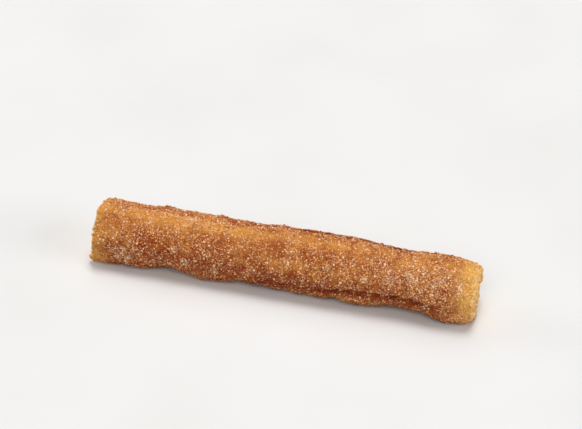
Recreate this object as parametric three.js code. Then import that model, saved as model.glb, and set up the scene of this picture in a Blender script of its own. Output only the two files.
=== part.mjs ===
// A churro stick: one rope of fried choux dough with five soft lobes, cut off at both ends.
// Its crust is uneven, with small crags along the lower front, and its cut faces are torn.
// Millimetres. X runs along the stick, +Z is up, and it lies on the plane z = 0.
// Angles go round the stick in degrees: 0 is the back (+Y), 90 the top, 180 the front,
// and 270 the underside.

import * as THREE from 'three';
import { ImprovedNoise } from 'three/addons/math/ImprovedNoise.js';
import { mergeVertices } from 'three/addons/utils/BufferGeometryUtils.js';

// ------------------------------------------------------------------ driving dimensions

const LENGTH = 127; // between the cut faces, without the crumbs that stand out of them
const RADIUS = 10.3; // from the axis to the crown of a lobe
const AXIS_HEIGHT = 9.75; // less than the radius, so the lowest lobes are pressed flat
const PRESSED_EDGE = 0.5; // height over which the flat underside turns into the round crust
const LEFT_ROUND = 1.1; // rounding where the crust turns into the left cut face
const RIGHT_ROUND = 1.9; // and into the right one, which has swollen softly

// Grooves between the lobes, in order round the stick: angle, depth where it is deepest
// and how far from there it fades, how far its line bows aside, where and over what
// length, and the mesh columns over the lobe that follows it.
const GROOVES = [
  { angle: 64, depth: 1.7, deepest: -26, fade: 24, bow: 22, bowAt: -29, bowReach: 15, columns: 17 },
  { angle: 187, depth: 2.3, deepest: 28, fade: 21, bow: 23, bowAt: 8, bowReach: 10, columns: 10 },
  { angle: 254, depth: 1.5, deepest: 8, fade: 40, bow: 7, bowAt: -12, bowReach: 20, columns: 10 },
  { angle: 316, depth: 1.8, deepest: -34, fade: 38, bow: -9, bowAt: 15, bowReach: 18, columns: 9 },
  { angle: 372, depth: 1.8, deepest: 24, fade: 36, bow: 8, bowAt: 28, bowReach: 15, columns: 9 },
];
const FAINT = 0.22; // share of its depth that a groove keeps where it has faded
const CREASE_HALF_WIDTH = 6; // degrees, the sharp bottom of a groove
const SHOULDER_HALF_WIDTH = 18; // degrees, the soft shoulders beside it
const CREASE_SHARE = 0.6; // of the depth, the rest is in the shoulders
const CROWDING = 0.05; // how much the mesh columns of a lobe crowd towards its grooves

// Swells (height above 0) and dips (below 0) of the crust: where along, where round,
// how high, and how far each reaches along (mm) and round (degrees).
const SWELLS = [
  // lower front, from left to right
  { x: -60, angle: 232, height: 1.0, along: 7, round: 48 },
  { x: -49, angle: 230, height: 0.7, along: 4, round: 36 },
  { x: -38, angle: 228, height: -1.1, along: 7, round: 40 },
  { x: -25, angle: 232, height: 1.1, along: 6, round: 36 },
  { x: -14, angle: 230, height: -1.0, along: 4, round: 40 },
  { x: -6.5, angle: 230, height: -0.8, along: 2.5, round: 30 },
  { x: 2.5, angle: 230, height: -0.4, along: 2.5, round: 30 },
  { x: 12, angle: 232, height: 0.4, along: 4, round: 34 },
  { x: 18, angle: 230, height: -0.8, along: 2.5, round: 30 },
  { x: 26, angle: 234, height: 0.6, along: 5, round: 34 },
  { x: 38.5, angle: 230, height: -1.6, along: 6, round: 40 },
  { x: 47, angle: 230, height: -0.9, along: 2.5, round: 30 },
  { x: 54, angle: 234, height: 1.2, along: 6.5, round: 50 },
  // upper back, from left to right
  { x: -50, angle: 54, height: -0.5, along: 5, round: 40 },
  { x: -41, angle: 60, height: 0.8, along: 3.5, round: 16 },
  { x: -22.5, angle: 56, height: 0.6, along: 2.5, round: 16 },
  { x: -3, angle: 52, height: 0.4, along: 4, round: 30 },
  { x: 11, angle: 52, height: 0.5, along: 13, round: 44 },
  { x: 23, angle: 50, height: 0.4, along: 3, round: 30 },
  { x: 40, angle: 52, height: -0.5, along: 8, round: 44 },
  { x: 65, angle: 55, height: -1.7, along: 7, round: 60 },
  // back, turned away
  { x: -30, angle: 330, height: 0.7, along: 9, round: 34 },
  { x: 22, angle: 345, height: 0.6, along: 8, round: 30 },
  { x: 50, angle: 320, height: -0.6, along: 8, round: 34 },
];

// Crumbs that stand out of the cut faces, and hollows where some tore away: which end
// (1 right, -1 left), where round, share of the radius, height and reach in mm.
const FACE_CRUMBS = [
  { end: 1, angle: 355, share: 0.85, height: 1.3, reach: 4.5 },
  { end: 1, angle: 262, share: 0.9, height: 0.8, reach: 5 },
  { end: 1, angle: 316, share: 0.95, height: -1.8, reach: 3.8 },
  { end: 1, angle: 150, share: 0.5, height: 0.6, reach: 3 },
  { end: -1, angle: 226, share: 1, height: 2.7, reach: 2.3 },
  { end: -1, angle: 60, share: 0.95, height: -0.5, reach: 5 },
  { end: -1, angle: 200, share: 0.4, height: -0.7, reach: 3 },
];

// Unevenness all over the crust and the cut faces: size of the lumps in mm, and how far
// they rise or fall. The crags are strongest round one angle, the lower front.
const LUMPS = [
  { size: 11, height: 0.35 },
  { size: 5, height: 0.22 },
];
const CRAGS = { size: 2.6, height: 0.55, angle: 226, round: 30, elsewhere: 0.3 };
const TORN = [
  { size: 6, height: 0.6 },
  { size: 2.4, height: 0.4 },
];

// Rings of the mesh: along the crust, over the rounding of one end, and on one cut face,
// there as shares of the radius.
const CRUST_RINGS = 88;
const CORNER_RINGS = 3;
const FACE_RINGS = [0.18, 0.36, 0.52, 0.68, 0.84];

// ------------------------------------------------------------------ helpers

const { smoothstep, lerp, degToRad } = THREE.MathUtils;
const HALF = LENGTH / 2;
const COLUMNS = GROOVES.reduce((sum, groove) => sum + groove.columns, 0);
const perlin = new ImprovedNoise();

// 1 at no distance, fading to nothing past about twice the reach.
const bell = (distance, reach) => Math.exp(-((distance / reach) ** 2));

// The rounding at an end, which is 1 for the right one and -1 for the left one.
const roundOf = (end) => (end > 0 ? RIGHT_ROUND : LEFT_ROUND);

function angleBetween(a, b) {
  return ((((a - b) % 360) + 540) % 360) - 180;
}

// A point across the stick, seen from its axis.
function across(x, angle, radius) {
  const turn = degToRad(angle);
  return new THREE.Vector3(x, radius * Math.cos(turn), radius * Math.sin(turn));
}

// Noise between about -1 and 1 with lumps of one size in mm; shift picks another pattern.
function noiseAt(point, size, shift) {
  const p = point.clone().divideScalar(size);
  return perlin.noise(p.x + shift, p.y + shift * 1.7, p.z - shift);
}

// ------------------------------------------------------------------ crust

function grooveAngle(groove, x) {
  return groove.angle + groove.bow * bell(x - groove.bowAt, groove.bowReach);
}

function grooveDepth(x, angle) {
  let depth = 0;
  for (const groove of GROOVES) {
    const away = angleBetween(angle, grooveAngle(groove, x));
    const crease = CREASE_SHARE * bell(away, CREASE_HALF_WIDTH);
    const shoulder = (1 - CREASE_SHARE) * bell(away, SHOULDER_HALF_WIDTH);
    const here = lerp(FAINT, 1, bell(x - groove.deepest, groove.fade));
    depth += groove.depth * here * (crease + shoulder);
  }
  return depth;
}

function swellHeight(x, angle) {
  let height = 0;
  for (const swell of SWELLS) {
    const along = bell(x - swell.x, swell.along);
    height += swell.height * along * bell(angleBetween(angle, swell.angle), swell.round);
  }
  return height;
}

function crustRadius(x, angle) {
  const onCrust = across(x, angle, RADIUS);
  let radius = RADIUS - grooveDepth(x, angle) + swellHeight(x, angle);
  LUMPS.forEach((lump, i) => {
    radius += lump.height * noiseAt(onCrust, lump.size, 3.1 + i * 5.7);
  });
  const inCrags = bell(angleBetween(angle, CRAGS.angle), CRAGS.round);
  radius += CRAGS.height * lerp(CRAGS.elsewhere, 1, inCrags) * noiseAt(onCrust, CRAGS.size, 7.3);
  return radius;
}

// ------------------------------------------------------------------ cut faces

// How far a cut face stands out at a point of it.
function tornHeight(point, end) {
  let height = 0;
  TORN.forEach((tear, i) => {
    height += tear.height * noiseAt(point, tear.size, 11.9 + i * 4.3);
  });
  for (const crumb of FACE_CRUMBS.filter((one) => one.end === end)) {
    const middle = across(point.x, crumb.angle, crumb.share * RADIUS);
    height += crumb.height * bell(point.distanceTo(middle), crumb.reach);
  }
  return height;
}

// ------------------------------------------------------------------ the whole stick

// One end of the plain stick, as share of the radius and place along the axis: from the
// middle of its cut face out and round its edge.
function endProfile(end) {
  const round = roundOf(end);
  const profile = [new THREE.Vector2(0, end * HALF)];
  for (const share of FACE_RINGS) profile.push(new THREE.Vector2(share, end * HALF));
  for (let i = 0; i < CORNER_RINGS; i += 1) {
    const turn = (i / CORNER_RINGS) * (Math.PI / 2);
    const share = 1 - (round / RADIUS) * (1 - Math.sin(turn));
    profile.push(new THREE.Vector2(share, end * (HALF - round * (1 - Math.cos(turn)))));
  }
  return profile;
}

// The plain stick's whole outline, from the left cut face along the crust to the right one.
function stickProfile() {
  const crust = [];
  for (let i = 0; i <= CRUST_RINGS; i += 1) {
    const x = lerp(-HALF + LEFT_ROUND, HALF - RIGHT_ROUND, i / CRUST_RINGS);
    crust.push(new THREE.Vector2(1, x));
  }
  return [...endProfile(-1), ...crust, ...endProfile(1).reverse()];
}

// The angle of a mesh column: columns follow the grooves, so that each groove is crisp.
function columnAngle(x, column) {
  let first = 0;
  let lobe = 0;
  while (column >= first + GROOVES[lobe].columns) {
    first += GROOVES[lobe].columns;
    lobe += 1;
  }
  const share = (column - first) / GROOVES[lobe].columns;
  const crowded = share - CROWDING * Math.sin(2 * Math.PI * share);
  const last = lobe === GROOVES.length - 1;
  const end = last ? grooveAngle(GROOVES[0], x) + 360 : grooveAngle(GROOVES[lobe + 1], x);
  return lerp(grooveAngle(GROOVES[lobe], x), end, crowded);
}

// Heights under the ground come up to it, with a soft edge, as where a soft rope lies.
function pressed(z) {
  if (z >= PRESSED_EDGE) return z;
  if (z <= -PRESSED_EDGE) return 0;
  return (z + PRESSED_EDGE) ** 2 / (4 * PRESSED_EDGE);
}

// Moves a point of the plain stick to the real surface.
function shaped(x, share, column) {
  const angle = columnAngle(x, column);
  const point = across(x, angle, share * crustRadius(x, angle));
  const end = x < 0 ? -1 : 1;
  const torn = smoothstep(end * x, HALF - 2 * roundOf(end), HALF);
  point.x += end * torn * tornHeight(point, end);
  point.z = pressed(point.z + AXIS_HEIGHT);
  return point;
}

function churroGeometry() {
  const lathe = new THREE.LatheGeometry(stickProfile(), COLUMNS);
  lathe.deleteAttribute('normal');
  lathe.deleteAttribute('uv');
  const geometry = mergeVertices(lathe, 1e-5);
  const position = geometry.getAttribute('position');
  for (let i = 0; i < position.count; i += 1) {
    const plain = new THREE.Vector3().fromBufferAttribute(position, i);
    const turns = Math.atan2(plain.x, plain.z) / (2 * Math.PI);
    const column = Math.round((1 + turns) * COLUMNS) % COLUMNS;
    const point = shaped(plain.y, Math.hypot(plain.x, plain.z), column);
    position.setXYZ(i, point.x, point.y, point.z);
  }
  geometry.computeBoundingBox();
  const middle = geometry.boundingBox.getCenter(new THREE.Vector3());
  geometry.translate(-middle.x, -middle.y, -geometry.boundingBox.min.z);
  geometry.computeVertexNormals();
  return geometry;
}

const crust = new THREE.MeshStandardMaterial({ color: 0xb1743f, roughness: 0.85, metalness: 0 });
const churro = new THREE.Mesh(churroGeometry(), crust);
churro.name = 'churro';

const model = new THREE.Group();
model.add(churro);

export default model;
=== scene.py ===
# %% [markdown]
# # A churro under cinnamon sugar
#
# A churro is a rope of stiff dough, pressed through a nozzle, fried until its crust is
# firm, and rolled in sugar and cinnamon while it is still sticky. This one is thick and
# short, nearly round, and cut off square at both ends. The CAD model gives its form and
# size. Here it gets what makes it look edible: blisters and crags in the crust, a torn
# pale crumb on the cut faces, thousands of sugar crystals, cinnamon and small crumbs.

# %% Load the CAD model and measure it
import math

import bmesh
import bpy
import numpy as np
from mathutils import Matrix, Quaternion, Vector, noise


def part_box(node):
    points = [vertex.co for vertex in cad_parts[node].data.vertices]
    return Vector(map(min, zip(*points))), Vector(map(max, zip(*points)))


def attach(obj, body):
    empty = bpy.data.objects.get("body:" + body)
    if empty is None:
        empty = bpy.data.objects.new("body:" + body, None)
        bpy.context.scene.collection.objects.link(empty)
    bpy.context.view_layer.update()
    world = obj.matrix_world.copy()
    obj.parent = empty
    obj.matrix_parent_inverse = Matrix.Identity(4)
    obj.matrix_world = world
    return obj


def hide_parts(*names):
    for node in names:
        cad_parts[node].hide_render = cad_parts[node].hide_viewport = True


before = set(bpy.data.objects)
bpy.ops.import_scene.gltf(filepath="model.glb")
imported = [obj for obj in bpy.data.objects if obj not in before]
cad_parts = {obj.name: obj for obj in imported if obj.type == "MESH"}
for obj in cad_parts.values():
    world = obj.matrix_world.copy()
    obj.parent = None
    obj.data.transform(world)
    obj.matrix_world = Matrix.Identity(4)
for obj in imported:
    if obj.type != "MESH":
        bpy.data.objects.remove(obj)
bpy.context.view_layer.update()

MM = 0.001
low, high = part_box("churro")
HALF_LENGTH = (high.x - low.x) / 2
HALF_THICKNESS = (high.z - low.z) / 2
AXIS_HEIGHT = 9.75 * MM  # the rope lies pressed, so its axis is lower than its radius
print("churro", [round(side / MM, 1) for side in high - low], "mm")

# %% [markdown]
# ## Camera
#
# The stick lies nearly across the view and is seen from the front, a little from its
# right end, and from well above. A long lens far away keeps both ends at one scale. The
# stick lies low in the frame, with room above it.

# %% Camera
AZIMUTH = math.radians(15.2)
ELEVATION = math.radians(38)
LENS = 135  # mm
SENSOR = 36  # mm
DISTANCE = 0.71
AIM_RIGHT = 2.15 * MM  # the view's middle lies this far right of the stick's middle
AIM_UP = 13.85 * MM  # and this far above it

TO_CAMERA = Vector((
    math.sin(AZIMUTH) * math.cos(ELEVATION),
    -math.cos(AZIMUTH) * math.cos(ELEVATION),
    math.sin(ELEVATION),
))
VIEW_RIGHT = Vector((math.cos(AZIMUTH), math.sin(AZIMUTH), 0))
VIEW_UP = TO_CAMERA.cross(VIEW_RIGHT)


def add_object(name, data):
    """Puts a new object into the scene, at the origin."""
    thing = bpy.data.objects.new(name, data)
    bpy.context.scene.collection.objects.link(thing)
    return thing


camera_data = bpy.data.cameras.new("camera")
camera_data.lens = LENS
camera_data.sensor_width = SENSOR
camera_data.clip_start = 0.01
camera_data.clip_end = 10
camera = add_object("camera", camera_data)
aim = (low + high) / 2 + VIEW_RIGHT * AIM_RIGHT + VIEW_UP * AIM_UP
camera.location = aim + TO_CAMERA * DISTANCE
camera.rotation_euler = (-TO_CAMERA).to_track_quat("-Z", "Y").to_euler()
bpy.context.scene.camera = camera
print("camera at", [round(value, 3) for value in camera.location])

# %% [markdown]
# ## Light
#
# Sugar looks best under soft boxes: they model the rope without hard shadows and still
# glint in the crystals. The strongest hangs overhead, a weak one behind, and three stand
# in front and at both ends, so the crown is bright and the lower front falls off into
# brown. They are made as suns as wide as such boxes look from the stick, which light the
# whole table alike. A dim white surround keeps the shade open. The standard view shows
# colours as they are set.

# %% Light
# the direction each shines from, how wide it looks in degrees, and its strength
BOXES = {
    "overhead_box": ((0.05, 0.05, 0.65), 26, 1.67),
    "back_box": ((-0.1, 0.34, 0.55), 35, 0.42),
    "front_card": ((0.0, -0.45, 0.5), 34, 0.99),
    "right_card": ((0.6, -0.1, 0.3), 34, 0.95),
    "left_card": ((-0.6, 0.08, 0.17), 34, 0.84),
}
SURROUND = 0.08


def add_light(name, towards, width, strength):
    """A soft light from a direction, as wide as the given angle in degrees."""
    data = bpy.data.lights.new(name, "SUN")
    data.angle = math.radians(width)
    data.energy = strength
    light = add_object(name, data)
    light.rotation_euler = Vector(towards).to_track_quat("Z", "Y").to_euler()


for name, box in BOXES.items():
    add_light(name, *box)

world = bpy.data.worlds.new("surround")
world.use_nodes = True
background = world.node_tree.nodes["Background"].inputs
background["Color"].default_value = (1, 1, 1, 1)
background["Strength"].default_value = SURROUND
bpy.context.scene.world = world
bpy.context.scene.view_settings.view_transform = "Standard"

# %% [markdown]
# ## Wiring materials
#
# Materials are node trees. A few small helpers keep them readable: one adds a node and
# fills or links its sockets by name, and the others add the nodes that are used most,
# for mixing colours, for arithmetic, for noise, for values stored on the mesh and for a
# bump. A noise node hardly ever puts out 0 or 1, so its useful range is stretched.

# %% Helpers for node trees
WIDE = (0.3, 0.7)  # nearly all values of a noise lie in this range
NARROW = (0.35, 0.65)  # and most of them in this one


def add_node(tree, kind, inputs=None, **settings):
    """Adds a node. Each input is a plain value, or the socket that feeds it."""
    node = tree.nodes.new(kind)
    for name, value in settings.items():
        setattr(node, name, value)
    for name, value in (inputs or {}).items():
        if isinstance(value, bpy.types.NodeSocket):
            tree.links.new(value, node.inputs[name])
        else:
            node.inputs[name].default_value = value
    return node


def mixed(tree, factor, first, second):
    """The first colour turning into the second as the factor goes from 0 to 1."""
    inputs = {"Factor": factor, 6: first, 7: second}
    return add_node(tree, "ShaderNodeMix", inputs, data_type="RGBA").outputs[2]


def maths(tree, operation, first, second, clamp=False):
    """One step of arithmetic."""
    inputs = {0: first, 1: second}
    node = add_node(tree, "ShaderNodeMath", inputs, operation=operation, use_clamp=clamp)
    return node.outputs[0]


def ranged(tree, value, start, end, to_start=0.0, to_end=1.0):
    """Stretches the range from start to end onto another one, and stops at its ends."""
    inputs = {
        "Value": value, "From Min": start, "From Max": end,
        "To Min": to_start, "To Max": to_end,
    }
    return add_node(tree, "ShaderNodeMapRange", inputs).outputs["Result"]


def lumps(tree, place, size_mm, detail=2.0, roughness=0.5):
    """Soft noise with lumps of about the given size."""
    inputs = {
        "Vector": place, "Scale": 1 / (size_mm * MM), "Detail": detail,
        "Roughness": roughness,
    }
    return add_node(tree, "ShaderNodeTexNoise", inputs).outputs["Fac"]


def field(tree, name):
    """A value that is stored on the mesh."""
    node = add_node(tree, "ShaderNodeAttribute", attribute_name=name)
    return node.outputs["Fac"]


def roughen(tree, height, depth_mm, strength):
    """Bumps the material's shader by a height."""
    inputs = {"Height": height, "Distance": depth_mm * MM, "Strength": strength}
    bump = add_node(tree, "ShaderNodeBump", inputs)
    tree.links.new(bump.outputs["Normal"], tree.nodes["Principled BSDF"].inputs["Normal"])


def place_on_piece(tree):
    """Where a point lies on the piece, in metres."""
    return add_node(tree, "ShaderNodeTexCoord").outputs["Object"]


def srgb(red, green, blue):
    """A colour given as on a screen, 0 to 255, turned into the light it stands for."""
    shares = [value / 255 for value in (red, green, blue)]
    light = [s / 12.92 if s < 0.04045 else ((s + 0.055) / 1.055) ** 2.4 for s in shares]
    return (*light, 1.0)


print("node helpers ready")

# %% [markdown]
# ## Floor
#
# The stick rests on a pale matte table. A very faint unevenness keeps it from looking
# like a void, and it is wide enough that its edge never shows from any side.

# %% Floor
FLOOR_WIDTH = 6.0
TABLE_DARK = srgb(226, 225, 223)
TABLE_LIGHT = srgb(231, 230, 229)
CLOUD_SIZE = 60  # mm


def floor_material():
    material = bpy.data.materials.new("pale_table")
    material.use_nodes = True
    tree = material.node_tree
    cloud = lumps(tree, place_on_piece(tree), CLOUD_SIZE)
    tone = mixed(tree, ranged(tree, cloud, *WIDE), TABLE_DARK, TABLE_LIGHT)
    shader = tree.nodes["Principled BSDF"]
    tree.links.new(tone, shader.inputs["Base Color"])
    shader.inputs["Roughness"].default_value = 0.8
    shader.inputs["Specular IOR Level"].default_value = 0.2
    return material


floor_mesh = bpy.data.meshes.new("table")
bm = bmesh.new()
bmesh.ops.create_grid(bm, x_segments=2, y_segments=2, size=FLOOR_WIDTH / 2)
bm.to_mesh(floor_mesh)
bm.free()
floor = add_object("table", floor_mesh)
floor_mesh.materials.append(floor_material())
print("table", FLOOR_WIDTH, "m wide")

# %% [markdown]
# ## The rope of dough
#
# The CAD solid already has the lobes, grooves and swells, but in facets of more than a
# millimetre. Its mesh is copied and merged, one level of subdivision rounds the facets,
# and a voxel remesh covers it evenly with quads of a third of a millimetre. That is
# fine enough to carve crags and pores, and still under 200,000 triangles. Sculpting by
# hand would look alike, but it could not be run again.

# %% Copy, round and remesh the rope
VOXEL = 0.345 * MM
WELD = 0.001 * MM  # corners nearer than this are one


def finished(thing):
    """The object's mesh with its modifiers applied."""
    thing.data.update()
    graph = bpy.context.evaluated_depsgraph_get()
    mesh = bpy.data.meshes.new_from_object(thing.evaluated_get(graph))
    thing.modifiers.clear()
    thing.data = mesh
    return mesh


def merged_copy(node):
    """A closed copy of a CAD node's mesh, mostly of four-sided faces."""
    bm = bmesh.new()
    bm.from_mesh(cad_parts[node].data)
    bmesh.ops.remove_doubles(bm, verts=bm.verts, dist=WELD)
    bmesh.ops.join_triangles(
        bm, faces=bm.faces, angle_face_threshold=math.radians(40),
        angle_shape_threshold=math.radians(60),
    )
    mesh = bpy.data.meshes.new("churro_body")
    bm.to_mesh(mesh)
    bm.free()
    return mesh


body = add_object("churro_body", merged_copy("churro"))
rounding = body.modifiers.new("rounding", "SUBSURF")
rounding.levels = rounding.render_levels = 1
finished(body)
remesh = body.modifiers.new("even_quads", "REMESH")
remesh.mode = "VOXEL"
remesh.voxel_size = VOXEL
finished(body)
print("rope", len(body.data.vertices), "vertices,", 2 * len(body.data.polygons), "triangles")

# %% [markdown]
# ## Reading the rope
#
# Everything that follows depends on where a point is: along the stick, round it, or on
# a cut face. These are worked out once for every vertex. Round the stick, 0 degrees is
# the back, 90 the top, 180 the front and 270 the underside. A cut face is found by its
# normals: relaxed, they ignore small bumps, and there they point along the stick.

# %% Helpers for values on the rope
def vertex_values(collection, name, width=3):
    """One value of every vertex, as an array."""
    values = np.zeros(len(collection) * width, np.float32)
    collection.foreach_get(name, values)
    return values.reshape(-1, width).astype(float)


def smooth_step(values, start, end):
    """0 before start, 1 after end, and a soft change between."""
    share = np.clip((values - start) / (end - start), 0, 1)
    return share * share * (3 - 2 * share)


def near_tip(outward, start, full):
    """0 to 1 towards the tip of the stick, between two distances from it in mm."""
    return smooth_step(outward, HALF_LENGTH - start * MM, HALF_LENGTH - full * MM)


def bell(away, reach):
    """1 at no distance, fading softly to nothing."""
    return np.exp(-(away / reach) ** 2)


def relaxed(values, rounds):
    """Averages each vertex with its neighbours, again and again."""
    ends = np.zeros(len(body.data.edges) * 2, np.int32)
    body.data.edges.foreach_get("vertices", ends)
    first, second = ends.reshape(-1, 2).T
    count = len(values)
    neighbours = np.bincount(first, minlength=count) + np.bincount(second, minlength=count)
    for _ in range(rounds):
        for axis in range(values.shape[1]):
            column = values[:, axis]
            total = np.bincount(first, column[second], count)
            total += np.bincount(second, column[first], count)
            values[:, axis] = (column + total / neighbours) / 2
    return values


print("edges", len(body.data.edges))

# %% Places on the rope
STEP_ROUNDS = 3  # of relaxing away the steps that the voxels leave
NORMAL_ROUNDS = 12
CUT_BEGINS = (5.5, 3)  # mm from the tip
CUT_SLANT = (0.45, 0.8)  # share of a relaxed normal along the stick: on crust, on a cut face

points = relaxed(vertex_values(body.data.vertices, "co"), STEP_ROUNDS)
body.data.vertices.foreach_set("co", points.astype(np.float32).ravel())
body.data.update()
normals = vertex_values(body.data.vertices, "normal")

along = points[:, 0]
round_angle = np.degrees(np.arctan2(points[:, 2] - AXIS_HEIGHT, points[:, 1])) % 360
settled = relaxed(normals.copy(), NORMAL_ROUNDS)
settled /= np.linalg.norm(settled, axis=1, keepdims=True)
cut = smooth_step(np.abs(settled[:, 0]), *CUT_SLANT) * near_tip(np.abs(along), *CUT_BEGINS)
print("cut faces on", round(float((cut > 0.5).mean()), 3), "of the rope")

# %% [markdown]
# ## Grooves and the lip over the front one
#
# Subdivision has softened the grooves between the lobes, and a groove that is only a
# soft dip vanishes under sugar. So each is cut again along its own line, as a narrow
# crease. Over the groove low on the front the upper lobe has sagged while it was hot
# and hangs over it as a soft lip, so that groove is relaxed into a rounded fold. Sugar
# lodges in the grooves that faced up in the sugar tray, and leaves the others bare.
# Those are painted as dark reddish brown bands that break up here and there, which is
# partly bare crust and partly painted shade in the groove, most of all under the front
# lip. The right rim is relaxed too, because the crust has swollen softly over its cut.

# %% Grooves
# angle round, depth, where along it is deepest, how far it fades from there, how far
# its line bows aside, where and over what length (degrees and mm), and its sugar
GROOVES = {
    "top": (64, 1.7, -26, 24, 22, -29, 15, 0.9),
    "front": (187, 2.3, 28, 21, 23, 8, 10, 0.0),
    "under": (254, 1.5, 8, 40, 7, -12, 20, 0.3),
    "low back": (316, 1.8, -34, 38, -9, 15, 18, 0.5),
    "high back": (12, 1.8, 24, 36, 8, 28, 15, 0.6),
}
FAINT = 0.2  # share that is left of a groove where it has faded
MIDDLE = 0.74  # mm from the middle of the stick to where the grooves count from
RECUT = 0.2  # of its depth
CREASE_WIDTH = 7  # degrees to each side
CREASE_ROUNDS = 4  # of relaxing
BARE_AND_PAINTED_SHADE_SHARE = 0.72  # how bare, and how dark with painted shade, a groove without sugar is
GROOVE_BAND_WIDTH = 9  # degrees to each side
BARE_AND_PAINTED_SHADE_SHIFT = 3  # degrees further round than the groove
LIP_ABOVE = 8  # degrees above the front groove's line
LIP_WIDTH = 9
LIP_OUT = 0.15  # mm
LIP_DOWN = 0.2  # mm
FOLD_WIDTH = 14  # degrees to each side over which the front groove has softened
FOLD_ROUNDS = 14
SWOLLEN = (4.5, 1.5)  # mm from the right tip
SWOLLEN_ROUNDS = 58


def degrees_from(angle):
    """How far each vertex lies round from an angle, or from an angle of its own."""
    return (round_angle - angle + 180) % 360 - 180


crease, filled, bare_and_painted_shade = np.zeros((3, len(points)))
for name, (angle, depth, deepest, fade, bow, bow_at, bow_reach, sugar) in GROOVES.items():
    place = along / MM - MIDDLE
    from_line = degrees_from(angle + bow * bell(place - bow_at, bow_reach))
    strength = FAINT + (1 - FAINT) * bell(place - deepest, fade)
    crease += RECUT * depth * strength * bell(from_line, CREASE_WIDTH)
    filled += sugar * strength * bell(from_line, GROOVE_BAND_WIDTH)
    bare_and_painted_shade += BARE_AND_PAINTED_SHADE_SHARE * (1 - sugar) * strength ** 2 * bell(from_line - BARE_AND_PAINTED_SHADE_SHIFT, GROOVE_BAND_WIDTH)
    if name == "front":
        lip = strength * bell(from_line + LIP_ABOVE, LIP_WIDTH) * (1 - cut)
        fold = (strength * bell(from_line, FOLD_WIDTH) * (1 - cut))[:, None]
crease *= 1 - cut
bare_and_painted_shade = np.clip(bare_and_painted_shade, 0, 1) * (1 - cut)
points += normals * ((LIP_OUT * lip - crease) * MM)[:, None]
points[:, 2] -= LIP_DOWN * lip * MM
settling = np.clip(2 * crease, 0, 1)[:, None]  # full where a crease is half a millimetre deep
points += (relaxed(points.copy(), CREASE_ROUNDS) - points) * settling
points += (relaxed(points.copy(), FOLD_ROUNDS) - points) * fold
swollen = near_tip(along, *SWOLLEN)[:, None]
points += (relaxed(points.copy(), SWOLLEN_ROUNDS) - points) * swollen
print("creases up to", crease.max().round(2), "mm, lip on", round(float((lip > 0.5).mean()), 3))

# %% [markdown]
# ## Ragged cut edges
#
# The stick was broken off a longer one rather than sawn, so its rims aren't straight.
# A few larger bites and bulges are listed one by one, and noise frays the rest. Only the
# last millimetres move, and only along the stick, so the crust keeps its thickness.

# %% Ragged edges
# end, angle round, how far it sticks out and over what length along the rim, in mm
TEARS = [
    (1, 314, -2.6, 4.6), (1, 20, 0.3, 3.0), (1, 262, 0.3, 3.0), (1, 120, -0.4, 3.0),
    (1, 236, -0.7, 2.4),
    (-1, 150, -0.3, 3.0), (-1, 60, -0.5, 3.0), (-1, 285, -0.6, 3.5),
]
FRAY = 0.55  # mm
FRAY_SIZES = (2.2, 1.1)  # mm, of coarse frays and of fine ones
FINE_FRAY = 0.6  # of the coarse ones' depth
FRAYED = (3.5, 0.5)  # mm from the tip
OVERHANG = 0.5 * MM  # how far the rope may pass the CAD model's ends, and grains its top


def noise_field(size, shift):
    """Noise from -1 to 1 at every vertex, in lumps of a size in mm. A shift gives another."""
    offset = Vector((shift, 1.7 * shift, -shift))
    scale = 1 / (size * MM)
    return np.array([noise.noise(Vector(point) * scale + offset) for point in points])


from_axis = np.hypot(points[:, 1], points[:, 2] - AXIS_HEIGHT) / MM
coarse, fine = FRAY_SIZES
frayed = FRAY * (noise_field(coarse, shift=7.7) + FINE_FRAY * noise_field(fine, shift=3.9))
for end in (1, -1):
    stretch = frayed.copy()
    for side, angle, out, width in TEARS:
        if side == end:
            round_rim = math.radians(1) * degrees_from(angle) * from_axis
            inward = HALF_THICKNESS / MM - from_axis
            stretch += out * bell(np.hypot(round_rim, inward), width)
    points[:, 0] += end * near_tip(end * along, *FRAYED) * stretch * MM
points[:, 0] = np.clip(points[:, 0], low.x - OVERHANG, high.x + OVERHANG)
print("edges frayed by up to", np.abs(frayed).max().round(2), "mm")

# %% [markdown]
# ## Zones of the crust
#
# Frying colours a churro unevenly, and near the cut faces it is paler. The crust is also
# painted golden and lighter along the crown, and darker and redder low on the front. That
# is partly painted light and shade, because the crown faces the light overhead and the
# lower front turns away from it, and partly uneven browning, as are the other patches. At
# the top edge over the middle a dark bare band is painted shadow on the lobe behind the
# top groove. Sugar lies unevenly too: in some patches it is rubbed off, and in others it
# is thick. Every zone is a soft patch with a place along (mm), a place round (degrees)
# and a reach in both. The patches are only stored as values on the mesh. The materials
# colour them.

# %% Zones
def bells(patches):
    """Adds soft patches up: along (mm), round (degrees), reach along, reach round, strength."""
    total = np.zeros(len(points))
    for x, angle, reach, spread, strength in patches:
        total += strength * bell(along / MM - x, reach) * bell(degrees_from(angle), spread)
    return total


# golden and lighter: the patches round the crown, near 100 degrees, are partly painted light; the
# others are uneven browning
GOLDEN_AND_PAINTED_LIGHT = [
    (-40, 101, 24, 17, 1.0), (-21, 99, 9, 16, 0.9), (-52, 120, 14, 30, 0.4),
    (0, 98, 14, 16, 0.6), (22, 100, 16, 17, 0.45), (44, 104, 14, 24, 0.5), (56, 112, 6, 24, 0.5),
    (10, 150, 18, 18, 0.3), (54, 190, 8, 30, 0.5), (-60, 170, 6, 40, 0.4),
    (-8, 262, 30, 22, 0.4), (29, 216, 13, 9, 0.5), (30, 350, 26, 24, 0.6),
    (-38, 330, 20, 22, 0.5), (-30, 232, 16, 12, 0.4), (10, 30, 22, 16, 0.4),
]
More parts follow.
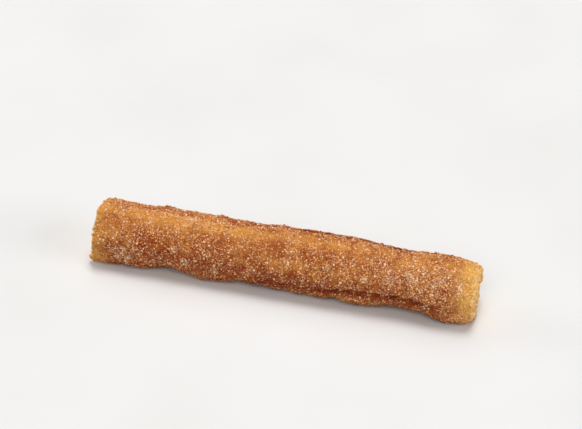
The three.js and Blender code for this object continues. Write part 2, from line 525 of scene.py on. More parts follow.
# bare crust with painted shade: along the front groove under the lip it is partly painted shade,
# near 60 degrees over the middle it is painted shadow at the top edge, and the others are bare
# crust
BARE_AND_PAINTED_SHADE = [
    (-3, 214, 10, 16, 0.8), (3, 200, 7, 10, 0.8), (11, 198, 8, 11, 0.9), (22, 189, 9, 8, 0.7),
    (34, 190, 8, 8, 0.4), (43, 191, 5, 9, 0.7), (10, 60, 9, 9, 0.9),
    (28, 60, 12, 9, 1.0), (38, 62, 9, 14, 0.8), (49, 226, 4, 14, 0.6),
    (-14, 300, 10, 12, 0.5), (14, 286, 16, 10, 0.6),
]
# darker and redder: the patches low on the front, from about 150 to 220 degrees, are partly
# painted shade, those near 60 degrees are painted shadow at the top edge, and the others are
# uneven browning
RUSTY_AND_PAINTED_SHADE = [
    (-37, 172, 9, 15, 1.0), (-47, 150, 6, 12, 0.6), (-24, 178, 7, 13, 0.8),
    (-22, 148, 5, 10, 0.5), (-8, 176, 7, 13, 0.7), (8, 178, 7, 12, 0.9),
    (28, 168, 7, 9, 0.5), (42, 184, 8, 9, 1.0), (50, 196, 6, 10, 0.9), (40, 208, 8, 14, 0.8),
    (-12, 205, 12, 16, 0.9), (-46, 215, 12, 14, 0.7), (-57, 176, 4, 12, 0.5),
    (-24, 202, 10, 14, 0.6), (12, 58, 28, 10, 1.0), (-42, 62, 10, 8, 0.7),
    (-8, 18, 20, 18, 0.7), (-48, 300, 14, 22, 0.6), (0, 222, 90, 22, 0.5),
    (-20, 186, 42, 18, 0.95), (10, 190, 60, 14, 0.3),
    (24, 290, 16, 22, 0.7), (52, 340, 8, 30, 0.4), (-34, 352, 12, 14, 0.6),
]
SUGARED = [
    (46, 140, 12, 28, 1.5), (-47, 186, 9, 20, 0.6), (-39, 84, 8, 7, 1.2), (-26, 84, 9, 6, 1.0),
    (14, 180, 7, 9, 0.5), (58, 205, 6, 20, 0.4), (-15, 10, 14, 14, 0.6), (30, 330, 12, 18, 0.6),
    (27, 214, 11, 8, 0.8), (55, 160, 5, 40, 0.45),
]
# end, from and to in mm, how pale, and how much browner it is low on the front
PALE_RIM = [(1, 2.3, 9.6, 1.0, 0.55), (-1, 0.5, 9.0, 0.55, 0.0)]
BROWNED_AT = 226  # degrees round
BROWNED_WIDTH = 34
BREAK_SIZE = 3.2  # mm, of the pieces into which the bare bands with their painted shade break up
BREAK_MEAN = 0.85  # share of the bare crust and its painted shade left there, on average
BREAK_SPREAD = 0.9
BREAK_LEAST = 0.3
PRESSED = (0.15 * MM, 1.6 * MM)  # heights: up to the first all flat, above the second free

golden_and_painted_light = np.clip(bells(GOLDEN_AND_PAINTED_LIGHT), 0, 1)
rusty_and_painted_shade = np.clip(bells(RUSTY_AND_PAINTED_SHADE), 0, 1)
sugared = bells(SUGARED)
patchy = BREAK_MEAN + BREAK_SPREAD * noise_field(BREAK_SIZE, shift=6.1)
patchy = np.clip(patchy, BREAK_LEAST, 1)
bare_and_painted_shade = np.clip(bare_and_painted_shade + bells(BARE_AND_PAINTED_SHADE) * (1 - cut), 0, 1) * patchy
rim = np.zeros(len(points))
for end, start, stop, strength, browned in PALE_RIM:
    from_end = HALF_LENGTH - end * along
    pale = strength * (1 - smooth_step(from_end, start * MM, stop * MM))
    rim += pale * (1 - browned * bell(degrees_from(BROWNED_AT), BROWNED_WIDTH))
pressed = 1 - smooth_step(points[:, 2], *PRESSED)
print("golden on", round(float((golden_and_painted_light > 0.3).mean()), 2), "of the crust")

# %% [markdown]
# ## Relief of the crust
#
# Five things roughen a fried crust: soft lumps of a few millimetres, blisters where
# steam lifted the skin, fine grit, crags where the dough tore, mostly low on the front
# and at the left edge, and scallops along the lower front, where soft dough sagged in
# drops before it set. On the cut faces the crumb shows as torn lumps with pores. Each is
# a height in millimetres at every vertex, and the sum moves it along its normal. The
# crust also lies in by as much as the sugar adds. Real geometry keeps the outline rough,
# which a bump map can't do. Blender's vector noise starts from the clock, so it is given
# a seed, and the churro comes out the same each time.

# %% Relief helpers
WARP_SEED = 5
WARP_FINENESS = 1.7  # lumps of the warp in one cell
noise.seed_set(WARP_SEED)


def domes(size, reach, shift, share, warp=0.0):
    """Domes from 0 to 1 in a share of cells of one size in mm, less round if warped."""
    heights = np.zeros(len(points))
    offset = Vector((shift, -shift, 2.3 * shift))
    scale = 1 / (size * MM)
    for i, point in enumerate(points):
        place = Vector(point) * scale + offset
        place += noise.noise_vector(WARP_FINENESS * place) * warp
        distances, centres = noise.voronoi(place)
        lot = noise.cell(centres[0] * 7.1) % 1  # each cell draws one of its own
        if lot < share and distances[0] < reach:
            heights[i] = math.sqrt(1 - (distances[0] / reach) ** 2)
    return heights


print("relief helpers ready")

# %% Height of the crust
# heights and sizes in mm
LUMP_HEIGHT = 0.16
LUMP_SIZE = 2.8
BLISTER_HEIGHT = 0.24
BLISTER_CELL = 3.4
BLISTER_REACH = 0.34  # of a cell
BLISTER_SHARE = 0.5  # of the cells hold a blister
GRIT_HEIGHT = 0.09
GRIT_SIZE = 0.75
CRAG_HEIGHT = 0.42
CRAG_SIZE = 1.5
CRAG_LEVEL = 0.6  # what is lower than this share lies below the crust
CRAG_LINE = (224, 22)  # degrees round, and to each side
CRAGS_ELSEWHERE = 0.25
CRAGGY_TIP = (4, 1)  # mm from the left tip
SCALLOP_HEIGHT = 0.95
SCALLOP_SIZE = 2.7
SCALLOP_TOP = 0.55  # share of their height above the crust
SCALLOP_LINE = (236, 16)  # degrees round, and to each side
SCALLOP_MIDDLE = (33, 22)  # mm along, and to each side
SCALLOPS_ELSEWHERE = 0.35  # along that line
SUGAR_DEPTH = 0.22  # the crust lies this far in, because the sugar adds as much again

left_edge = near_tip(-along, *CRAGGY_TIP)
angle, width = CRAG_LINE
craggy = CRAGS_ELSEWHERE + bell(degrees_from(angle), width) + left_edge
craggy = np.clip(craggy, 0, 1) * (1 - pressed)
crags = 1 - 2 * np.abs(noise_field(CRAG_SIZE, shift=4.4))
crust_height = LUMP_HEIGHT * noise_field(LUMP_SIZE, shift=1.3)
blisters = domes(BLISTER_CELL, BLISTER_REACH, 5.2, BLISTER_SHARE)
crust_height += BLISTER_HEIGHT * blisters
crust_height += GRIT_HEIGHT * noise_field(GRIT_SIZE, shift=9.1)
crust_height += CRAG_HEIGHT * craggy * (crags - CRAG_LEVEL)

scallops = SCALLOP_TOP - 2 * np.abs(noise_field(SCALLOP_SIZE, shift=12.3))
angle, width = SCALLOP_LINE
middle, reach = SCALLOP_MIDDLE
scalloped = SCALLOPS_ELSEWHERE + (1 - SCALLOPS_ELSEWHERE) * bell(along / MM - middle, reach)
scalloped = bell(degrees_from(angle), width) * scalloped
crust_height += SCALLOP_HEIGHT * scalloped * scallops
crust_height -= SUGAR_DEPTH
print("craggy on", round(float((craggy > 0.6).mean()), 2), "of the crust")

# %% Height of the crumb
TORN_HEIGHT = 0.32
TORN_SIZE = 2.2
FINE_TORN = 0.7  # of that height, in finer lumps
FINE_TORN_SIZE = 0.9
# cell in mm, reach of a pore in it, shift of the noise, share of cells, depth in mm
PORES = [(3.4, 0.4, 2.9, 0.22, 0.9), (1.9, 0.42, 8.1, 0.4, 0.7), (1.0, 0.45, 4.7, 0.85, 0.55)]
PORE_DEPTH = max(depth for *_, depth in PORES)
PORE_WARP = 0.35  # of a cell
DEEPEST = 1.3  # mm, where pores meet

torn = noise_field(TORN_SIZE, shift=6.6)
torn += FINE_TORN * noise_field(FINE_TORN_SIZE, shift=2.2)
crumb_height = TORN_HEIGHT * torn
for size, reach, shift, share, depth in PORES:
    crumb_height -= depth * domes(size, reach, shift, share, PORE_WARP)
crumb_height = np.maximum(crumb_height, -DEEPEST)
print("crumb from", crumb_height.min().round(2), "to", crumb_height.max().round(2), "mm")

# %% Carve crust and crumb
height = (crust_height * (1 - cut) * (1 - pressed) + crumb_height * cut) * MM
points = points + normals * height[:, None]
points[:, 2] = np.maximum(points[:, 2], 0)
body.data.vertices.foreach_set("co", points.astype(np.float32).ravel())
body.data.polygons.foreach_set("use_smooth", np.ones(len(body.data.polygons), bool))
body.data.update()
print("relief from", (height.min() / MM).round(2), "to", (height.max() / MM).round(2), "mm")

# %% Store the zones on the mesh
pores = np.clip(-crumb_height / PORE_DEPTH, 0, 1) * cut
FIELDS = {
    "golden_and_painted_light": golden_and_painted_light, "rusty_and_painted_shade": rusty_and_painted_shade, "rim": rim, "cut": cut, "pressed": pressed,
    "bare_and_painted_shade": bare_and_painted_shade, "pores": pores, "sugared": sugared,
}


def store(mesh, values):
    """Keeps values on a mesh's vertices, under their names."""
    for name, column in values.items():
        attribute = mesh.attributes.new(name, "FLOAT", "POINT")
        attribute.data.foreach_set("value", np.asarray(column, np.float32))


store(body.data, FIELDS)
print("stored", ", ".join(FIELDS))

# %% [markdown]
# ## The colour of fried dough
#
# The crust, the grains that lie on it and the loose crumbs all share one colour scheme,
# so it is a node group that is built once. It mixes brown towards gold, rust and pale
# rim by the stored zones, and towards dark brown where the crust is bare. Gold on the
# crown is partly painted light, rust low on the front and the dark brown in grooves are
# partly painted shade, and the dark brown at the top edge is painted shadow. It breaks
# every zone up with patches and flecks, because a clean gradient looks like paint.

# %% Node group: fried dough
BROWN = srgb(157, 74, 27)
GOLD_AND_PAINTED_LIGHT = srgb(207, 141, 62)
RUST_BROWN_AND_PAINTED_SHADE = srgb(140, 51, 17)
BARE_AND_PAINTED_SHADE_BROWN = srgb(124, 45, 17)
PALE = srgb(232, 181, 86)
PATCH_SIZE = 7  # mm
MOTTLE_SIZE = 2.2
FLECK_SIZE = 0.7
PATCHES = 0.28  # share by which patches shift the zones
MOTTLE = 0.22
RIM_FULL = 0.85  # pale share of a full rim, before the mottle
FLECKS = (0.78, 1.18)  # brightness of the darkest and the lightest


def new_group(name, inputs, outputs):
    """A shader node group. Returns it with the sockets that it is given and fills."""
    tree = bpy.data.node_groups.new(name, "ShaderNodeTree")
    for title, kind in inputs.items():
        tree.interface.new_socket(title, in_out="INPUT", socket_type=kind)
    for title, kind in outputs.items():
        tree.interface.new_socket(title, in_out="OUTPUT", socket_type=kind)
    given = tree.nodes.new("NodeGroupInput").outputs
    return tree, given, tree.nodes.new("NodeGroupOutput").inputs


def fried_dough_group():
    inputs = {
        "Place": "NodeSocketVector", "Golden_and_painted_light": "NodeSocketFloat", "Rusty_and_painted_shade": "NodeSocketFloat",
        "Rim": "NodeSocketFloat", "Bare_and_painted_shade": "NodeSocketFloat",
    }
    tree, given, out = new_group("fried_dough", inputs, {"Color": "NodeSocketColor"})
    place = given["Place"]
    patches = ranged(tree, lumps(tree, place, PATCH_SIZE), *NARROW, -PATCHES, PATCHES)
    mottle = ranged(tree, lumps(tree, place, MOTTLE_SIZE, 3.0), *NARROW, -MOTTLE, MOTTLE)
    uneven = maths(tree, "ADD", patches, mottle)
    gold_and_painted_light_share = maths(tree, "ADD", given["Golden_and_painted_light"], uneven, clamp=True)
    rust_and_painted_shade_share = maths(tree, "SUBTRACT", given["Rusty_and_painted_shade"], uneven, clamp=True)
    broken = maths(tree, "ADD", RIM_FULL, mottle)
    rim_share = maths(tree, "MULTIPLY", given["Rim"], broken, clamp=True)
    # gold and rust carry painted light on the crown and painted shade low on the front, besides
    # uneven browning
    tone = mixed(tree, gold_and_painted_light_share, BROWN, GOLD_AND_PAINTED_LIGHT)
    tone = mixed(tree, rust_and_painted_shade_share, tone, RUST_BROWN_AND_PAINTED_SHADE)
    tone = mixed(tree, rim_share, tone, PALE)
    # dark brown where the crust is bare, partly painted shade in the grooves and painted shadow
    # at the top edge
    tone = mixed(tree, given["Bare_and_painted_shade"], tone, BARE_AND_PAINTED_SHADE_BROWN)
    fleck = ranged(tree, lumps(tree, place, FLECK_SIZE), *WIDE, *FLECKS)
    shade = add_node(tree, "ShaderNodeHueSaturation", {"Value": fleck, "Color": tone})
    tree.links.new(shade.outputs["Color"], out["Color"])
    return tree


FRIED_DOUGH = fried_dough_group()


def fried_dough(tree, place):
    """The fried colour at each point, with its painted light and shade, from the stored zones."""
    node = tree.nodes.new("ShaderNodeGroup")
    node.node_tree = FRIED_DOUGH
    tree.links.new(place, node.inputs["Place"])
    for zone in ("Golden_and_painted_light", "Rusty_and_painted_shade", "Rim", "Bare_and_painted_shade"):
        tree.links.new(field(tree, zone.lower()), node.inputs[zone])
    return node.outputs["Color"]


print("node group", FRIED_DOUGH.name)

# %% [markdown]
# ## Sugar dust
#
# Between the crystals that can be told apart lies finer sugar, rubbed into the crust.
# Modelling it would take millions of grains, so this group gives a mask of small pale
# spots and a height for a bump. Crust and crumbs use it with different amounts.

# %% Node group: sugar dust
DRIFT_SIZE = 3.5  # mm
DRIFT_AMOUNTS = (0.45, 1.0)  # between drifts, and in one
FINE_DUST = 0.32
COARSE_DUST = 0.6
FINE_SPOTS = (0.48, 0.66)  # noise values between which a spot of dust fades in
COARSE_SPOTS = (0.5, 0.64)
COARSE_RISE = 1.5  # of fine dust's height


def sugar_dust_group():
    inputs = {"Place": "NodeSocketVector", "Amount": "NodeSocketFloat"}
    outputs = {"Mask": "NodeSocketFloat", "Height": "NodeSocketFloat"}
    tree, given, out = new_group("sugar_dust", inputs, outputs)
    drifts = lumps(tree, given["Place"], DRIFT_SIZE)
    drifts = ranged(tree, drifts, *NARROW, *DRIFT_AMOUNTS)
    fine = lumps(tree, given["Place"], FINE_DUST, 1.0)
    coarse = lumps(tree, given["Place"], COARSE_DUST, 1.0)
    spots = maths(
        tree, "MAXIMUM", ranged(tree, fine, *FINE_SPOTS), ranged(tree, coarse, *COARSE_SPOTS)
    )
    amount = maths(tree, "MULTIPLY", given["Amount"], drifts)
    tree.links.new(maths(tree, "MULTIPLY", spots, amount, clamp=True), out["Mask"])
    coarse = maths(tree, "MULTIPLY", coarse, COARSE_RISE)
    tree.links.new(maths(tree, "ADD", fine, coarse), out["Height"])
    return tree


SUGAR_DUST = sugar_dust_group()


def sugar_dust(tree, place, amount):
    """Places the group. Returns its mask and its height."""
    node = tree.nodes.new("ShaderNodeGroup")
    node.node_tree = SUGAR_DUST
    tree.links.new(place, node.inputs["Place"])
    if isinstance(amount, bpy.types.NodeSocket):
        tree.links.new(amount, node.inputs["Amount"])
    else:
        node.inputs["Amount"].default_value = amount
    return node.outputs["Mask"], node.outputs["Height"]


print("node group", SUGAR_DUST.name)

# %% [markdown]
# ## Crust and crumb
#
# One material covers the whole rope, because crust turns into crumb without an edge.
# The stored value "cut" leads from the fried crust with its sugar dust to the pale
# yellow crumb, which is lighter on its torn lumps and has painted shade down in its
# pores. A little light passes through dough, so both have a small subsurface share.

# %% Material: crust and crumb
DUST = srgb(209, 136, 66)
CRUMB_YELLOW = srgb(239, 183, 103)
CRUMB_LIGHT = srgb(246, 206, 143)
CRUMB_SHADE = srgb(216, 146, 76)
DUST_AMOUNT = 0.5
DUST_LESS = {"golden_and_painted_light": 0.15, "rusty_and_painted_shade": 0.2, "bare_and_painted_shade": 0.5}
TEAR_SIZE = 1.6  # mm
GLOSS_SIZE = 0.9
ROUGHNESS = (0.42, 0.72)  # of the shiniest spot and the dullest
SHEEN = 0.12  # specular level of the dough: dry, with little fat on it
CRUMB_ROUGHER = 3.0  # how much more bump the crumb has than the crust


def dough_material():
    material = bpy.data.materials.new("fried_crust")
    material.use_nodes = True
    tree = material.node_tree
    place = place_on_piece(tree)
    crust = fried_dough(tree, place)
    amount = DUST_AMOUNT
    for zone, less in DUST_LESS.items():
        amount = maths(tree, "SUBTRACT", amount, maths(tree, "MULTIPLY", field(tree, zone), less))
    mask, dust_height = sugar_dust(tree, place, amount)
    crust = mixed(tree, mask, crust, DUST)
    torn = ranged(tree, lumps(tree, place, TEAR_SIZE, 4.0, 0.7), *NARROW)
    crumb = mixed(tree, torn, CRUMB_YELLOW, CRUMB_LIGHT)
    crumb = mixed(tree, field(tree, "pores"), crumb, CRUMB_SHADE)
    tone = mixed(tree, field(tree, "cut"), crust, crumb)
    shader = tree.nodes["Principled BSDF"]
    tree.links.new(tone, shader.inputs["Base Color"])
    gloss = ranged(tree, lumps(tree, place, GLOSS_SIZE), *WIDE, *ROUGHNESS)
    tree.links.new(gloss, shader.inputs["Roughness"])
    shader.inputs["Specular IOR Level"].default_value = SHEEN
    shader.inputs["Subsurface Weight"].default_value = 0.12
    shader.inputs["Subsurface Radius"].default_value = (1.0, 0.45, 0.15)
    shader.inputs["Subsurface Scale"].default_value = 1.2 * MM
    rougher = maths(tree, "MULTIPLY", field(tree, "cut"), CRUMB_ROUGHER)
    rougher = maths(tree, "ADD", rougher, 1.0)
    height = maths(tree, "MULTIPLY", dust_height, rougher)
    roughen(tree, height, depth_mm=0.12, strength=0.7)
    return material


body.data.materials.clear()
body.data.materials.append(dough_material())
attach(body, "root")
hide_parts("churro")
print("body dressed")

# %% [markdown]
# ## Scattering
#
# Sugar sticks where it lands. Each kind of grain is scattered over the rope's triangles
# by area and by a density, and no two lie closer than a given spacing, which is what
# keeps a random scatter from clotting. Sugar and crumbs remember the zones under them,
# so their colour can follow the crust.

# %% Places for grains
body.data.calc_loop_triangles()
corners = np.zeros(len(body.data.loop_triangles) * 3, np.int32)
body.data.loop_triangles.foreach_get("vertices", corners)
corners = corners.reshape(-1, 3)
normals = vertex_values(body.data.vertices, "normal")
edge_one = points[corners[:, 1]] - points[corners[:, 0]]
edge_two = points[corners[:, 2]] - points[corners[:, 0]]
areas = np.linalg.norm(np.cross(edge_one, edge_two), axis=1) / 2


def spaced_out(places, spacing, wanted):
    """Picks places in order, and skips each that is too near to one picked before."""
    taken = {}
    picked = []
    cells = np.floor(places / spacing).astype(int)
    for i, (cell, place) in enumerate(zip(map(tuple, cells), places)):
        x, y, z = cell
        near = [
            taken[key] for key in
            ((x + a, y + b, z + c) for a in (-1, 0, 1) for b in (-1, 0, 1) for c in (-1, 0, 1))
            if key in taken
        ]
        if all(((places[other] - place) ** 2).sum() > spacing ** 2 for other in near):
            taken[cell] = i
            picked.append(i)
            if len(picked) == wanted:
                break
    return np.array(picked)


def scatter(count, density, spacing, rng, tries=3):
    """Random places on the rope, out of some tries for each: points, normals and zones."""
    weights = areas * density[corners].mean(axis=1)
    chosen = rng.choice(len(corners), count * tries, p=weights / weights.sum())
    share = rng.random((count * tries, 2))
    share = np.where(share.sum(1, keepdims=True) > 1, 1 - share, share)
    share = np.column_stack([1 - share.sum(1), share])
    spots = (points[corners[chosen]] * share[:, :, None]).sum(1)
    kept = spaced_out(spots, spacing, count)
    share, chosen = share[kept], chosen[kept]

    def under(values):
        weights = share.reshape(len(kept), 3, *[1] * (values.ndim - 1))
        return (values[corners[chosen]] * weights).sum(1)

    facing = under(normals)
    facing /= np.linalg.norm(facing, axis=1, keepdims=True)
    return spots[kept], facing, {name: under(values) for name, values in FIELDS.items()}


print("crust", round(float(areas.sum()) / MM ** 2), "square mm")

# %% [markdown]
# ## One mesh of many grains
#
# A grain is modelled once, as a small bmesh. Tens of thousands of copies as objects would
# be slow, so the corners of all copies are worked out together, as arrays: sized, moved
# at random, turned on their spots and lifted. A grain that would reach into the table or
# stand too high is moved back.

# %% Joining many grains into one mesh
CEILING = high.z + OVERHANG  # no grain stands up further than this


def shape_arrays(bm):
    """The corners and faces of a small bmesh, which is then freed."""
    bm.verts.ensure_lookup_table()
    corners_of = np.array([vertex.co[:] for vertex in bm.verts])
    faces = [[vertex.index for vertex in face.verts] for face in bm.faces]
    bm.free()
    return corners_of, faces


def turned_on(facing, rng, tilt):
    """Random turns, one matrix each: spun about the normal and tilted up to an angle."""
    helper = np.where(np.abs(facing[:, 2:]) < 0.9, (0, 0, 1), (1, 0, 0))
    side = np.cross(facing, helper)
    side /= np.linalg.norm(side, axis=1, keepdims=True)
    base = np.stack([side, np.cross(facing, side), facing], axis=2)
    turns = []
    for _ in range(len(facing)):
        spin = Quaternion((0, 0, 1), rng.uniform(0, 2 * math.pi))
        lean = rng.uniform(0, 2 * math.pi)
        lean = Quaternion((math.cos(lean), math.sin(lean), 0), rng.uniform(-tilt, tilt))
        turns.append(lean @ spin)
    return base @ np.array([turn.to_matrix() for turn in turns])


def planted(name, shape, spots, facing, sizes, lift, jitter, rng, values, tilt=math.pi):
    """One mesh of a small shape on every spot, with its corners moved at random."""
    corner, faces = shape
    each = len(corner)
    forms = corner[None] * sizes[:, None, :]
    forms = forms * (1 + rng.uniform(-jitter, jitter, forms.shape))
    forms = np.einsum("nij,nkj->nki", turned_on(facing, rng, tilt), forms)
    forms += (spots + facing * lift[:, None])[:, None, :]
    forms[:, :, 2] += np.maximum(-forms[:, :, 2].min(axis=1), 0)[:, None]
    forms[:, :, 2] -= np.maximum(forms[:, :, 2].max(axis=1) - CEILING, 0)[:, None]
    joined_faces = [
        [index + each * i for index in face] for i in range(len(spots)) for face in faces
    ]
    mesh = bpy.data.meshes.new(name)
    mesh.from_pydata(forms.reshape(-1, 3).tolist(), [], joined_faces)
    store(mesh, {title: np.repeat(column, each) for title, column in values.items()})
    return add_object(name, mesh)


print("scatter helpers ready")

# %% [markdown]
# ## Sugar crystals
#
# Granulated sugar is small broken boxes. The fine kind, 0.2 to 0.45 mm, is a cube with
# its corners moved, of 12 triangles. The coarse kind, up to 0.65 mm, has every second
# corner cut off by a bevel, so that it catches light on more sides. Between them lie
# smaller shards, which are three-sided. A crystal is clear: on crust it looks like
# lighter crust, and only thick clumps are white. So each has a value for how white it
# is, and one for how clear.

# %% Shapes of the crystals
def fine_crystal():
    bm = bmesh.new()
    bmesh.ops.create_cube(bm, size=1)
    return shape_arrays(bm)


def coarse_crystal():
    bm = bmesh.new()
    bmesh.ops.create_cube(bm, size=1)
    every_second = [vertex for vertex in bm.verts if math.prod(vertex.co) > 0]
    bmesh.ops.bevel(
        bm, geom=every_second, offset=0.3, offset_type="OFFSET", segments=1, profile=0.5,
        affect="VERTICES", material=-1,
    )
    return shape_arrays(bm)


def shard():
    bm = bmesh.new()
    bmesh.ops.create_cone(
        bm, cap_ends=True, segments=3, radius1=0.6, radius2=0.35, depth=0.7
    )
    return shape_arrays(bm)


print("coarse crystal has", len(coarse_crystal()[1]), "faces, shard", len(shard()[1]))

# %% [markdown]
# ## Where sugar lies
#
# The coat isn't even. It drifts in patches, lodges in grooves, and is thin where the
# crust is bare or pressed and on the cut faces. Damp sugar has clumped here and there.
# The clumps are few and easily seen, so each is listed, and noise does the rest.

# %% Where sugar lies thick
# along in mm, round in degrees
CLUMPS = [
    (-44.6, 120), (-55.7, 178), (-53.8, 196), (-50.4, 195), (-34.6, 159), (-31.2, 187),
    (2.9, 147), (36.9, 149), (42.6, 136), (52.1, 137), (59.3, 141), (-52, 179),
    (-30, 83), (-38, 82), (17, 145), (29, 154), (-21, 190),
    (-20, 20), (33, 345), (-48, 330), (8, 310), (55, 30), (-5, 250), (40, 265),
]
CLUMP_REACH = 1.1 * MM
DRIFT = 4.2 * MM
SMALL_DRIFT = 1.7 * MM
SMALL_SHARE = 0.6  # weight of small drifts
COAT_MEAN = 0.85  # before the zones change it
COAT_SPREAD = 0.95
COAT_LEAST = 0.1
# how much more sugar, or less, lies where a zone is full
COAT_CHANGES = [
    (golden_and_painted_light, -0.2), (rusty_and_painted_shade, -0.4), (bare_and_painted_shade, -0.92), (filled, 1.5), (cut, -0.9),
    (np.clip(rim, 0, 1), -0.35), (pressed, -0.85), (sugared, 1.0),
]


def changed(amount, changes):
    """An amount at every vertex, scaled up or down where zones are full."""
    for zone, change in changes:
        amount = amount * (1 + change * zone)
    return amount


drift = np.array([noise.noise(Vector(point) / DRIFT) for point in points])
small_drift = np.array([noise.noise(Vector(point) / SMALL_DRIFT) for point in points])
drift += SMALL_SHARE * small_drift
coat = np.clip(COAT_MEAN + COAT_SPREAD * drift, COAT_LEAST, None)
coat = changed(coat, COAT_CHANGES)
clumped = np.zeros(len(points))
for x, angle in CLUMPS:
    y = HALF_THICKNESS * math.cos(math.radians(angle))
    z = HALF_THICKNESS * math.sin(math.radians(angle))
    away = np.linalg.norm(points - (x * MM, y, AXIS_HEIGHT + z), axis=1)
    clumped += bell(away, CLUMP_REACH)
FIELDS["clumped"] = np.clip(clumped, 0, 1)
print("thick sugar on", round(float((clumped > 0.3).mean()), 3), "of the crust")

# %% [markdown]
# ## Sugar's material
#
# It starts from the fried colour beneath, lifts it towards the tan of cinnamon sugar, and
# whitens the crystals of the clumps. Low roughness lets single facets flash.

# %% Material: sugar
SUGAR_TAN = srgb(239, 168, 92)
SUGAR_LIGHT = srgb(252, 220, 182)
SUGAR_WHITE = srgb(248, 226, 190)
CLOUDINESS = 0.25  # mm, the size of cloudy spots within a crystal
SUGAR_ROUGHNESS = (0.25, 0.5)


def sugar_material():
    material = bpy.data.materials.new("sugar_crystals")
    material.use_nodes = True
    tree = material.node_tree
    place = place_on_piece(tree)
    # the fried colour beneath carries its painted light and shade into the crystals
    tone = mixed(tree, field(tree, "clear"), fried_dough(tree, place), SUGAR_TAN)
    light = mixed(tree, field(tree, "clumped"), SUGAR_LIGHT, SUGAR_WHITE)
    tone = mixed(tree, field(tree, "white"), tone, light)
    cloudy = lumps(tree, place, CLOUDINESS, 1.0)
    shader = tree.nodes["Principled BSDF"]
    tree.links.new(tone, shader.inputs["Base Color"])
    rough = ranged(tree, cloudy, *WIDE, *SUGAR_ROUGHNESS)
    tree.links.new(rough, shader.inputs["Roughness"])
    shader.inputs["Specular IOR Level"].default_value = 0.18
    roughen(tree, cloudy, depth_mm=0.03, strength=0.4)
    return material


SUGAR = sugar_material()
print("material", SUGAR.name)

# %% Plant the sugar
# shape, count, spacing, smallest and largest size in mm, and seed
KINDS = {
    "sugar_fine": (fine_crystal, 16500, 0.31, 0.22, 0.44, 11),
    "sugar_coarse": (coarse_crystal, 3600, 0.55, 0.36, 0.64, 23),
    "sugar_shards": (shard, 24500, 0.25, 0.18, 0.38, 31),
}
FEWER_LARGE = 1.4  # above 1, small crystals are more common than large ones
SIDES = (0.7, 1.25)  # of its size that a side may measure
LOW = (1, 1, 0.75)  # a crystal rests on a broad side
LIFT = (-0.05, 0.14)  # of its size
HEAP = 0.25 * MM  # height to which clumps are heaped
CROWDING = 3  # how much denser sugar lies in a clump
CLEARNESS = (0.45, 0.32)  # mean and spread
FEWER_WHITE = 4.2
WHITER_CLUMPS = 0.9
WHITER_SUGARED = 0.3
WHITEST = 0.9
CRYSTAL_JITTER = 0.18  # of its place that a corner moves
CRYSTAL_TILT = 0.9  # radians


def plant_sugar(name, shape, count, spacing, smallest, largest, seed):
    """Scatters crystals of one kind, more of them and whiter ones in the clumps."""
    rng = np.random.default_rng(seed)
    density = coat * (1 + CROWDING * FIELDS["clumped"])
    spots, facing, zones = scatter(count, density, spacing * MM, rng)
    count = len(spots)
    size = (smallest + (largest - smallest) * rng.random(count) ** FEWER_LARGE) * MM
    sizes = size[:, None] * rng.uniform(*SIDES, (count, 3)) * LOW
    lift = size * rng.uniform(*LIFT, count)
    lift += HEAP * zones["clumped"] * rng.random(count)
    zones["clear"] = np.clip(rng.normal(*CLEARNESS, count), 0.0, 1)
    white = rng.random(count) ** FEWER_WHITE
    whiter = WHITER_CLUMPS * zones["clumped"] + WHITER_SUGARED * zones["sugared"]
    white += whiter * rng.random(count) ** 2
    zones["white"] = np.clip(white, 0, WHITEST)
    piece = planted(
        name, shape(), spots, facing, sizes, lift, CRYSTAL_JITTER, rng, zones, CRYSTAL_TILT
    )
    piece.data.materials.append(SUGAR)
    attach(piece, "root")
    print(name, count, "crystals")


for name, kind in KINDS.items():
    plant_sugar(name, *kind)

# %% [markdown]
# ## Cinnamon
#
# Ground cinnamon is thin brown chips of bark. A flattened octahedron, from a sphere of
# very few segments, is enough at a quarter of a millimetre. The chips lie flat.

# %% Cinnamon chips
CHIPS = 7000
CHIP_SPACING = 0.25 * MM
CHIP_SIZES = (0.16, 0.4)  # mm
CHIP_FORM = (1, 0.7, 0.4)
CHIP_LIFT = 0.1  # of its size
CHIP_JITTER = 0.3
CHIP_TILT = 0.6  # radians
CHIP_MEAN = 0.6  # density, and less in drifts of sugar
CHIP_SPREAD = 0.5
CHIP_LEAST = 0.1
BARK_SIZE = 0.8  # mm
BARK_ROUGHNESS = (0.7, 0.9)
BARK_DARK = srgb(92, 42, 18)
BARK_LIGHT = srgb(146, 74, 32)


def chip_shape():
    bm = bmesh.new()
    bmesh.ops.create_uvsphere(bm, u_segments=4, v_segments=2, radius=0.5)
    return shape_arrays(bm)


def cinnamon_material():
    material = bpy.data.materials.new("ground_cinnamon")
    material.use_nodes = True
    tree = material.node_tree
    place = place_on_piece(tree)
    bark = ranged(tree, lumps(tree, place, BARK_SIZE), *WIDE)
    tone = mixed(tree, bark, BARK_DARK, BARK_LIGHT)
    shader = tree.nodes["Principled BSDF"]
    tree.links.new(tone, shader.inputs["Base Color"])
    rough = ranged(tree, bark, 0, 1, *BARK_ROUGHNESS)
    tree.links.new(rough, shader.inputs["Roughness"])
    return material


rng = np.random.default_rng(37)
density = np.clip(changed(1, [(cut, -0.9), (rim, -0.7), (pressed, -0.8)]), 0, 1)
density *= np.clip(CHIP_MEAN - CHIP_SPREAD * drift, CHIP_LEAST, None)
spots, facing, _ = scatter(CHIPS, density, CHIP_SPACING, rng)
size = rng.uniform(*CHIP_SIZES, len(spots)) * MM
cinnamon = planted(
    "cinnamon_chips", chip_shape(), spots, facing, size[:, None] * CHIP_FORM,
    size * CHIP_LIFT, CHIP_JITTER, rng, {}, CHIP_TILT,
)
cinnamon.data.materials.append(cinnamon_material())
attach(cinnamon, "root")
print("cinnamon", len(spots), "chips")

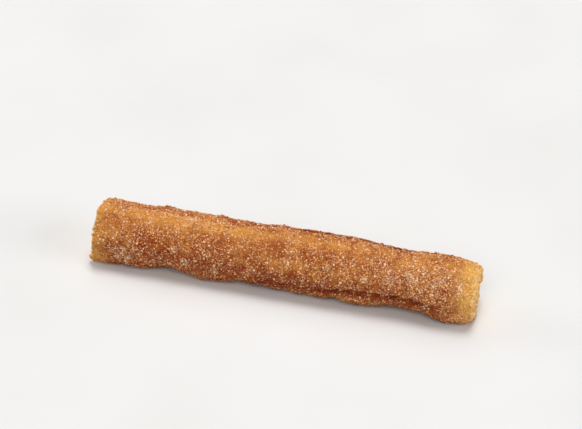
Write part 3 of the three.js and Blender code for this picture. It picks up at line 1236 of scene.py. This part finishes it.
# %% [markdown]
# ## Crumbs
#
# Bits of fried crust cling to the crags low on the front and at the left edge. Each is
# a small lump, from an icosahedron that is divided once and has its corners moved. It is
# half sunk into the crust and has the same fried colours.

# %% Crumbs
CRUMBS = 600
CRUMB_SPACING = 0.8 * MM
CRUMB_SIZES = (0.5, 1.15)  # mm
CRUMB_SIDES = (0.7, 1.2)  # of its size
CRUMB_LIFT = 0.05  # of its size
CRUMB_JITTER = 0.14
CRUMB_DUST = 0.7
CRUMB_ROUGHNESS = (0.75, 0.5)  # bare, and under dust
CRUMBS_ANYWHERE = 0.04  # density, of 1
CRUMBS_FROM = 0.3  # they gather where crust is craggier


def crumb_shape():
    bm = bmesh.new()
    bmesh.ops.create_icosphere(bm, subdivisions=2, radius=0.5)
    return shape_arrays(bm)


def crumb_material():
    material = bpy.data.materials.new("crust_crumbs")
    material.use_nodes = True
    tree = material.node_tree
    place = place_on_piece(tree)
    mask, dust_height = sugar_dust(tree, place, CRUMB_DUST)
    # the fried colour carries its painted light and shade onto the crumbs
    tone = mixed(tree, mask, fried_dough(tree, place), DUST)
    shader = tree.nodes["Principled BSDF"]
    tree.links.new(tone, shader.inputs["Base Color"])
    rough = ranged(tree, mask, 0, 1, *CRUMB_ROUGHNESS)
    tree.links.new(rough, shader.inputs["Roughness"])
    shader.inputs["Specular IOR Level"].default_value = SHEEN
    roughen(tree, dust_height, depth_mm=0.1, strength=0.6)
    return material


rng = np.random.default_rng(53)
density = CRUMBS_ANYWHERE + np.clip(craggy - CRUMBS_FROM, 0, 1) + left_edge
density = density * (1 - cut) * (1 - pressed)
spots, facing, zones = scatter(CRUMBS, density, CRUMB_SPACING, rng, tries=6)
size = rng.uniform(*CRUMB_SIZES, len(spots)) * MM
sizes = size[:, None] * rng.uniform(*CRUMB_SIDES, (len(spots), 3))
crumbs = planted(
    "crust_crumbs", crumb_shape(), spots, facing, sizes, size * CRUMB_LIFT, CRUMB_JITTER,
    rng, zones,
)
crumbs.data.materials.append(crumb_material())
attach(crumbs, "root")
print("crumbs", len(spots))
